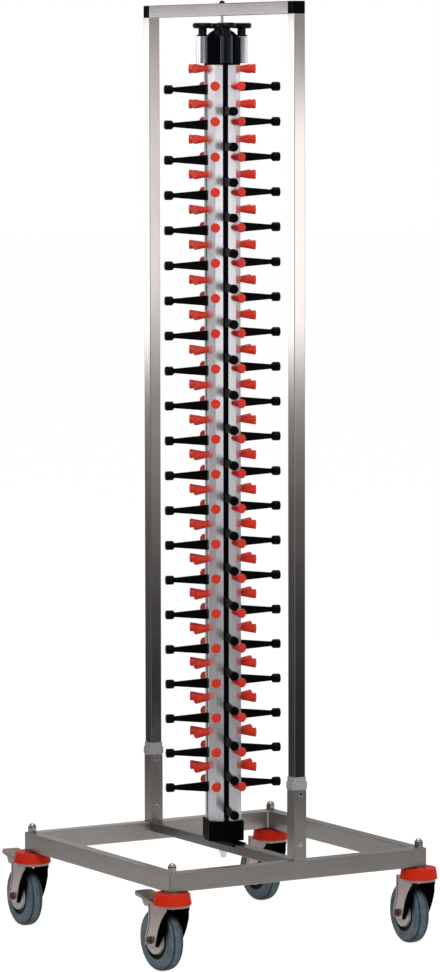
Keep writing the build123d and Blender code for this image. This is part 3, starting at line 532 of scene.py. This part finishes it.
def bead(name, start, end, body):
    """A slightly lumpy weld bead along a straight line."""
    start, end = Vector(start), Vector(end)
    count = max(2, int((end - start).length / BEAD_STEP))
    steps = [start.lerp(end, i / count) for i in range(count)] + [end]
    curve = bpy.data.curves.new(name, "CURVE")
    curve.dimensions = "3D"
    curve.bevel_depth = BEAD_RADIUS
    curve.bevel_resolution = 2
    run = curve.splines.new("POLY")
    run.points.add(len(steps) - 1)
    for i, (point, place) in enumerate(zip(run.points, steps)):
        point.co = (*place, 1)
        point.radius = LUMP_LOW + LUMP_RISE * (i % 2)
    piece = bpy.data.objects.new(name, curve)
    bpy.context.scene.collection.objects.link(piece)
    curve.materials.append(weld)
    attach(piece, body)


bead_height = RAIL_TOP - BEAD_SINK
bead_inner = BASE_HALF - RAIL_WIDTH - BEAD_INNER_GAP
bead_outer = BASE_HALF - BEAD_OUTER_GAP
for sx in (-1, 1):
    for sy in (-1, 1):
        side_name = f"{'front' if sy < 0 else 'back'}_{'left' if sx < 0 else 'right'}"
        bead(
            f"weld_mitre_{side_name}",
            (sx * bead_inner, sy * bead_inner, bead_height),
            (sx * bead_outer, sy * bead_outer, bead_height),
            "frame",
        )

# ---------------------------------------------------------------- world and floor

# The world's strength as a light, and where it is seen or mirrored
WORLD_SOFT = 0.38
WORLD_WHITE = 1.0

# Where it is seen, this share of the floor glows at this level, and the rest is matte
FLOOR_GLOW = 0.8
FLOOR_LEVEL = 0.93
FLOOR_REACH = 40.0
FLOOR_COLOUR = (0.85, 0.85, 0.85, 1)


def background_rays(tree):
    """1 for camera, glossy and transmission rays, 0 for the rest."""
    path = tree.nodes.new("ShaderNodeLightPath")
    seen = math(tree, "MAXIMUM", path.outputs["Is Camera Ray"], path.outputs["Is Glossy Ray"])
    return math(tree, "MAXIMUM", seen, path.outputs["Is Transmission Ray"])


def white_light(tree, strength):
    """A plain white background shader's output."""
    node = tree.nodes.new("ShaderNodeBackground")
    node.inputs["Color"].default_value = (*WHITE, 1)
    node.inputs["Strength"].default_value = strength
    return node.outputs[0]


def choose_shader(tree, factor, first, second, surface):
    """Mix two shaders by a factor into the surface."""
    node = tree.nodes.new("ShaderNodeMixShader")
    tree.links.new(factor, node.inputs["Fac"])
    tree.links.new(first, node.inputs[1])
    tree.links.new(second, node.inputs[2])
    tree.links.new(node.outputs[0], surface)


def stage_piece(name, corners, faces):
    """A mesh object of the stage, linked to the scene."""
    mesh = bpy.data.meshes.new(name)
    mesh.from_pydata(corners, [], faces)
    piece = bpy.data.objects.new(name, mesh)
    bpy.context.scene.collection.objects.link(piece)
    mesh.materials.append(bpy.data.materials.new(name))
    return piece


world = bpy.context.scene.world or bpy.data.worlds.new("studio")
bpy.context.scene.world = world
tree, surface = empty_tree(world, "ShaderNodeOutputWorld")
soft, white = white_light(tree, WORLD_SOFT), white_light(tree, WORLD_WHITE)
choose_shader(tree, background_rays(tree), soft, white, surface)

floor_corners = [(sx * FLOOR_REACH, sy * FLOOR_REACH, 0) for sx, sy in ((-1, -1), (1, -1), (1, 1), (-1, 1))]
floor = stage_piece("floor", floor_corners, [(0, 1, 2, 3)])
tree, surface = empty_tree(floor.data.materials[0], "ShaderNodeOutputMaterial")
matte = tree.nodes.new("ShaderNodeBsdfDiffuse")
matte.inputs["Color"].default_value = FLOOR_COLOUR
glow = tree.nodes.new("ShaderNodeEmission")
glow.inputs["Strength"].default_value = FLOOR_LEVEL / FLOOR_GLOW
seen = math(tree, "MULTIPLY", background_rays(tree), FLOOR_GLOW)
choose_shader(tree, seen, matte.outputs[0], glow.outputs[0], surface)

# ---------------------------------------------------------------- studio wall

# A round wall that only reflections see. Its light is a sum of parts, and each part is a level
# by height, in metres, times a share by bearing, in degrees from +X.
WALL_RADIUS = 2.5
WALL_HEIGHT = 5.0
WALL_SIDES = 96
WALL_FOOT = 1.6
FOOT_LIFT = 0.002
WALL_PARTS = (
    # Ahead of the mast's flats
    (
        (
            (0.0, 0.24),
            (0.26, 0.30),
            (0.48, 0.40),
            (0.60, 0.50),
            (0.75, 0.70),
            (0.9, 1.0),
            (1.1, 1.1),
            (1.5, 1.25),
            (1.76, 1.1),
            (1.80, 0.25),
            (2.2, 0.2),
        ),
        ((-112, 0.0), (-104, 1.0), (-84, 1.0), (-74, 0.0)),
    ),
    # Ahead of the front post
    (
        (
            (0.13, 0.024),
            (0.25, 0.037),
            (0.47, 0.057),
            (0.60, 0.10),
            (0.72, 0.155),
            (0.845, 0.26),
            (0.94, 0.43),
            (1.05, 0.98),
            (1.12, 1.9),
            (1.63, 1.9),
            (1.70, 1.32),
            (1.756, 0.77),
            (1.806, 0.48),
            (1.90, 0.36),
            (2.6, 0.6),
            (4.0, 1.0),
        ),
        ((-84, 0.0), (-74, 1.0), (-61, 1.0), (-58, 0.0)),
    ),
    # Ahead of the back post
    (
        (
            (0.11, 0.044),
            (0.35, 0.08),
            (0.49, 0.165),
            (0.62, 0.25),
            (0.76, 0.35),
            (0.90, 0.41),
            (1.02, 0.56),
            (1.21, 1.26),
            (1.40, 1.13),
            (1.60, 0.95),
            (1.76, 0.85),
            (1.84, 0.68),
            (1.93, 0.34),
            (2.6, 0.6),
            (4.0, 1.0),
        ),
        ((-61, 0.0), (-58, 1.0), (-46, 1.0), (-34, 0.0)),
    ),
    # The sides of the studio
    (
        (
            (0.0, 0.24),
            (0.5, 0.28),
            (0.9, 0.40),
            (1.2, 0.45),
            (1.5, 0.60),
            (1.8, 0.42),
            (2.0, 0.40),
            (2.6, 0.6),
            (4.0, 1.0),
        ),
        (
            (-180, 1.0),
            (-166, 1.0),
            (-156, 0.0),
            (-46, 0.0),
            (-34, 1.0),
            (100, 1.0),
            (108, 0.0),
            (152, 0.0),
            (164, 1.0),
            (180, 1.0),
        ),
    ),
    # Low behind the object, for faces that look up
    (
        ((0.0, 0.4), (0.9, 0.4), (1.1, 0.0)),
        ((10, 0.0), (25, 0.2), (54, 0.2), (63, 1.0), (95, 1.0), (108, 0.0)),
    ),
    # Left of it, bright up to a sharp edge, and dimmer above the edge
    (
        (
            (0.05, 0.05),
            (0.41, 0.086),
            (0.67, 0.15),
            (0.86, 0.30),
            (0.93, 0.42),
            (1.0, 0.9),
            (1.06, 1.6),
            (1.12, 2.1),
            (1.90, 2.1),
            (1.94, 0.0),
        ),
        ((104, 0.0), (110, 1.0), (150, 1.0), (162, 0.0)),
    ),
    (
        ((1.90, 0.0), (1.95, 1.0), (2.6, 0.8), (4.0, 1.0)),
        ((102, 0.0), (108, 0.2), (117.6, 0.25), (124.3, 0.55), (135, 0.6), (150, 0.5), (162, 0.0)),
    ),
    # Bright again high up on both sides
    (
        ((1.73, 0.0), (1.80, 1.0), (2.10, 1.0), (2.30, 0.0)),
        (
            (-180, 1.6),
            (-168, 1.3),
            (-156, 0.0),
            (-52, 0.0),
            (-40, 0.5),
            (-20, 0.8),
            (30, 0.8),
            (60, 0.0),
            (158, 0.0),
            (170, 1.3),
            (180, 1.6),
        ),
    ),
    # The dark side of the studio, behind the camera
    (
        ((0.0, 0.05), (1.0, 0.10), (1.8, 0.10), (2.2, 0.3), (4.0, 1.0)),
        ((-166, 0.0), (-156, 1.0), (-112, 1.0), (-104, 0.0)),
    ),
)


def studio_wall():
    """The wall with its strip of floor, seen only in reflections."""
    profile = ((WALL_FOOT, FOOT_LIFT), (WALL_RADIUS, FOOT_LIFT), (WALL_RADIUS, WALL_HEIGHT))
    corners = []
    faces = []
    for i in range(WALL_SIDES):
        bearing = 2 * pi * i / WALL_SIDES
        corners += [(radius * cos(bearing), radius * sin(bearing), height) for radius, height in profile]
        here, after = len(profile) * i, len(profile) * ((i + 1) % WALL_SIDES)
        faces += [(here + k, after + k, after + k + 1, here + k + 1) for k in range(len(profile) - 1)]
    wall = stage_piece("studio_wall", corners, faces)
    wall.visible_camera = False
    wall.visible_diffuse = False
    wall.visible_transmission = False
    wall.visible_volume_scatter = False
    wall.visible_shadow = False
    tree, surface = empty_tree(wall.data.materials[0], "ShaderNodeOutputMaterial")
    x, y, z = split_axes(tree, coords(tree))
    height = math(tree, "DIVIDE", z, WALL_HEIGHT)
    bearing = math(tree, "DIVIDE", math(tree, "ARCTAN2", y, x), 2 * pi)
    turned = math(tree, "ADD", bearing, 0.5)
    total = 0.0
    for levels, shares in WALL_PARTS:
        by_height = grey_ramp(tree, height, [(place / WALL_HEIGHT, level) for place, level in levels])
        by_bearing = grey_ramp(tree, turned, [(degrees / 360 + 0.5, share) for degrees, share in shares])
        total = math(tree, "ADD", math(tree, "MULTIPLY", by_height, by_bearing), total)
    light = tree.nodes.new("ShaderNodeEmission")
    tree.links.new(total, light.inputs["Strength"])
    tree.links.new(light.outputs[0], surface)


studio_wall()

# ---------------------------------------------------------------- lamps


def area_lamp(name, place, target, size, power):
    """A soft square lamp that looks at the target."""
    lamp = bpy.data.lights.new(name, "AREA")
    lamp.shape = "SQUARE"
    lamp.size = size
    lamp.energy = power
    holder = bpy.data.objects.new(name, lamp)
    holder.location = place
    holder.rotation_mode = "QUATERNION"
    holder.rotation_quaternion = (Vector(target) - Vector(place)).to_track_quat("-Z", "Y")
    bpy.context.scene.collection.objects.link(holder)


area_lamp("key", place=(-2.2, -3.2, 3.4), target=(0, 0, 1.0), size=1.6, power=165.0)
area_lamp("fill", place=(3.2, -2.2, 2.0), target=(0, 0, 0.9), size=2.0, power=50.0)
area_lamp("top", place=(0.3, 0.4, 4.0), target=(0, 0, 0.8), size=1.8, power=60.0)

# ---------------------------------------------------------------- camera

CAMERA_TURN = radians(-30.698)
CAMERA_RISE = radians(4.925)
CAMERA_ROLL = radians(-0.093)
CAMERA_DISTANCE = 9.2618
TARGET_SHIFT = -0.005654
TARGET_HEIGHT = 0.92409
FOCAL_PIXELS = 4570.15
IMAGE_HEIGHT = 972
SENSOR_SIZE = 36.0
FAR_CLIP = 200.0

right = Vector((cos(CAMERA_TURN), sin(CAMERA_TURN), 0))
back = Vector((sin(CAMERA_TURN) * cos(CAMERA_RISE), -cos(CAMERA_TURN) * cos(CAMERA_RISE), sin(CAMERA_RISE)))
up = back.cross(right)
across = right * cos(CAMERA_ROLL) + up * sin(CAMERA_ROLL)
upward = up * cos(CAMERA_ROLL) - right * sin(CAMERA_ROLL)
target = right * TARGET_SHIFT + Vector((0, 0, TARGET_HEIGHT))

lens = bpy.data.cameras.new("camera")
lens.sensor_width = SENSOR_SIZE
lens.lens = FOCAL_PIXELS / IMAGE_HEIGHT * lens.sensor_width
lens.clip_end = FAR_CLIP
camera = bpy.data.objects.new("camera", lens)
turn = Matrix((across, upward, back)).transposed().to_4x4()
camera.matrix_world = Matrix.Translation(target + back * CAMERA_DISTANCE) @ turn
bpy.context.scene.collection.objects.link(camera)
bpy.context.scene.camera = camera
bpy.context.scene.view_settings.view_transform = "Standard"
